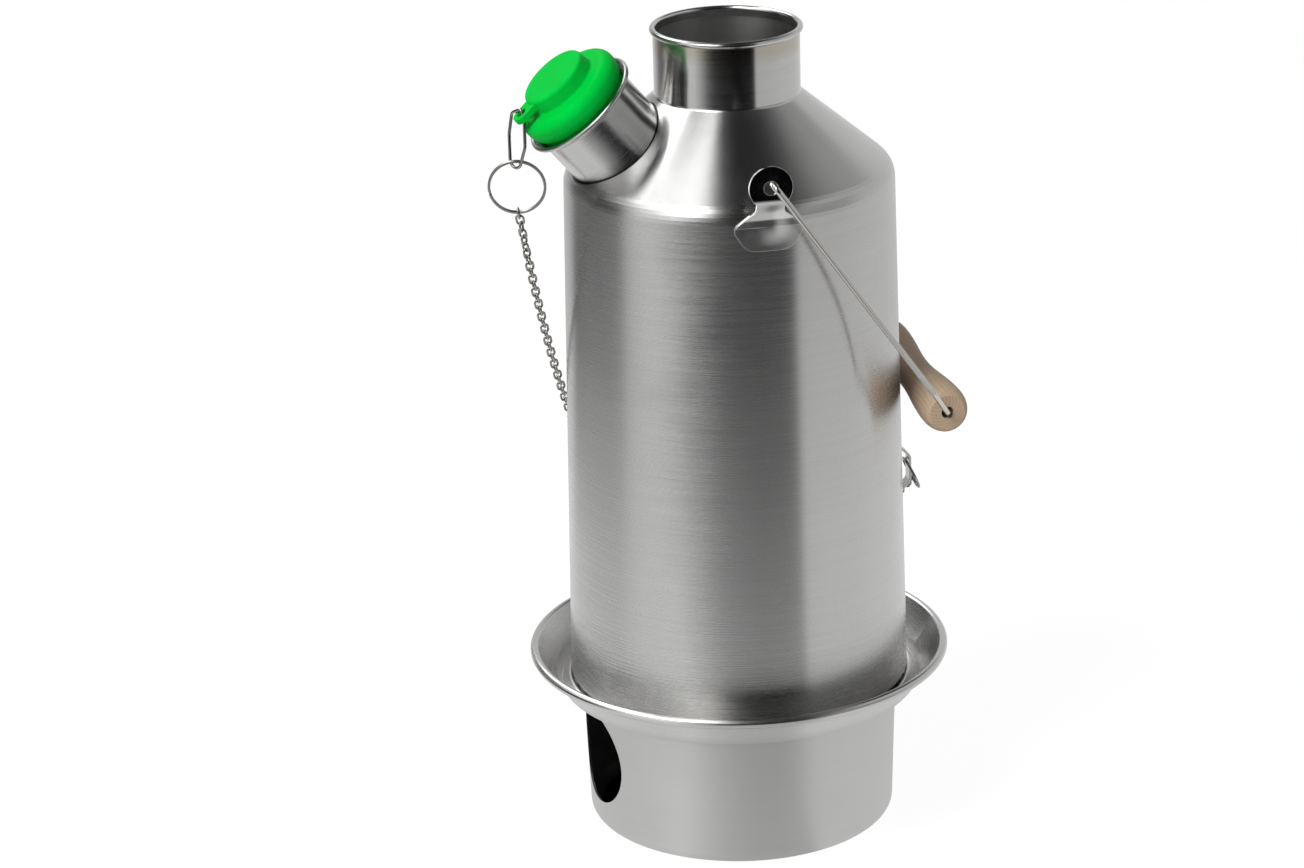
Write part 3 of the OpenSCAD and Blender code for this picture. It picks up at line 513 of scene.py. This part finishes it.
def make_world():
    """White for the camera; for reflections, a studio of soft boxes and dark flags."""
    world = bpy.data.worlds.new("studio")
    bpy.context.scene.world = world
    world.use_nodes = True
    tree = world.node_tree
    tree.nodes.clear()
    direction = add(tree, "ShaderNodeTexCoord").outputs["Generated"]
    degrees = maths(tree, "MULTIPLY", angle_round(tree, direction), 180 / math.pi)
    low = bands(tree, degrees, LEVEL_BANDS)
    lean = mapped(tree, dot(tree, direction, tuple(TO_RIGHT)), -1, 1)
    high = ramp(tree, lean, [((right + 1) / 2, value) for right, value in OVERHEAD])
    height = add(tree, "ShaderNodeSeparateXYZ", {0: direction}).outputs[2]
    front = dot(tree, direction, tuple(TO_CAMERA))
    aside = vector(tree, "SUBTRACT", direction, tuple(DISC_MIDDLE))
    spread = vector(tree, "LENGTH", vector(tree, "MULTIPLY", aside, (1, 1, 0)), output=1)
    clear = maths(tree, "MULTIPLY", mapped(tree, front, *FLAG_FRONT, 1, 0, smooth=True),
                  mapped(tree, spread, *DISC_EDGE, smooth=True))
    high = mixed(tree, clear, FLAG, high)
    seen = mixed(tree, mapped(tree, height, *OVERHEAD_FROM, smooth=True), low, high)
    glossy = add(tree, "ShaderNodeBackground", {0: seen, 1: 1.0}).outputs[0]
    plain = add(tree, "ShaderNodeBackground", {0: PLAIN_LIGHT, 1: 1.0}).outputs[0]
    white = add(tree, "ShaderNodeBackground", {0: WHITE, 1: 1.0}).outputs[0]
    add(tree, "ShaderNodeOutputWorld", {0: by_ray(tree, plain, glossy, white)})


def make_key_lamp():
    """Soft light from the upper left, which the steel doesn't reflect."""
    data = bpy.data.lights.new("key", "AREA")
    data.shape = "RECTANGLE"
    data.size = KEY_SIZE
    data.size_y = KEY_SIZE
    data.energy = KEY_WATTS
    lamp = bpy.data.objects.new("key", data)
    lamp.location = KEY_AT
    lamp.rotation_euler = (KEY_TARGET - KEY_AT).to_track_quat("-Z", "Y").to_euler()
    lamp.visible_glossy = False
    bpy.context.scene.collection.objects.link(lamp)


def floor_material():
    """Pale and shadowed, and in reflections the tables of bands."""
    material = bpy.data.materials.new("pale_floor")
    material.use_nodes = True
    tree = material.node_tree
    tree.nodes.clear()
    spot = place(tree)
    radius = vector(tree, "LENGTH", spot, output=1)
    turn = angle_round(tree, spot)
    # The wall isn't at the middle, so what it reflects lies a little further round
    shift = maths(tree, "DIVIDE", maths(tree, "SINE", maths(tree, "MULTIPLY", turn, 0.5)), radius)
    turn = maths(tree, "MULTIPLY_ADD", shift, WALL_R, turn)
    degrees = maths(tree, "MULTIPLY", turn, 180 / math.pi)
    seen = bands(tree, degrees, FOOT_BANDS)
    for near, far, table in FLOOR_STEPS:
        seen = mixed(tree, mapped(tree, radius, near, far), seen, bands(tree, degrees, table))
    matt = add(tree, "ShaderNodeBsdfDiffuse", {0: FLOOR_PAINT}).outputs[0]
    faint = add(tree, "ShaderNodeBsdfDiffuse", {0: SHADOW_PAINT}).outputs[0]
    lift = add(tree, "ShaderNodeEmission", {0: WHITE, 1: FLOOR_GLOW}).outputs[0]
    lifted = add(tree, "ShaderNodeAddShader", {0: faint, 1: lift}).outputs[0]
    glossy = add(tree, "ShaderNodeEmission", {0: seen, 1: 1.0}).outputs[0]
    add(tree, "ShaderNodeOutputMaterial", {0: by_ray(tree, matt, glossy, lifted)})
    return material


def make_floor():
    mesh = bpy.data.meshes.new("floor")
    corners = [(-1, -1), (1, -1), (1, 1), (-1, 1)]
    mesh.from_pydata([(x * FLOOR_HALF, y * FLOOR_HALF, 0) for x, y in corners], [], [(0, 1, 2, 3)])
    mesh.materials.append(floor_material())
    floor = bpy.data.objects.new("floor", mesh)
    floor.location = (0, 0, FLOOR_Z)
    bpy.context.scene.collection.objects.link(floor)


make_world()
make_floor()
make_key_lamp()
bpy.context.scene.view_settings.view_transform = "Standard"
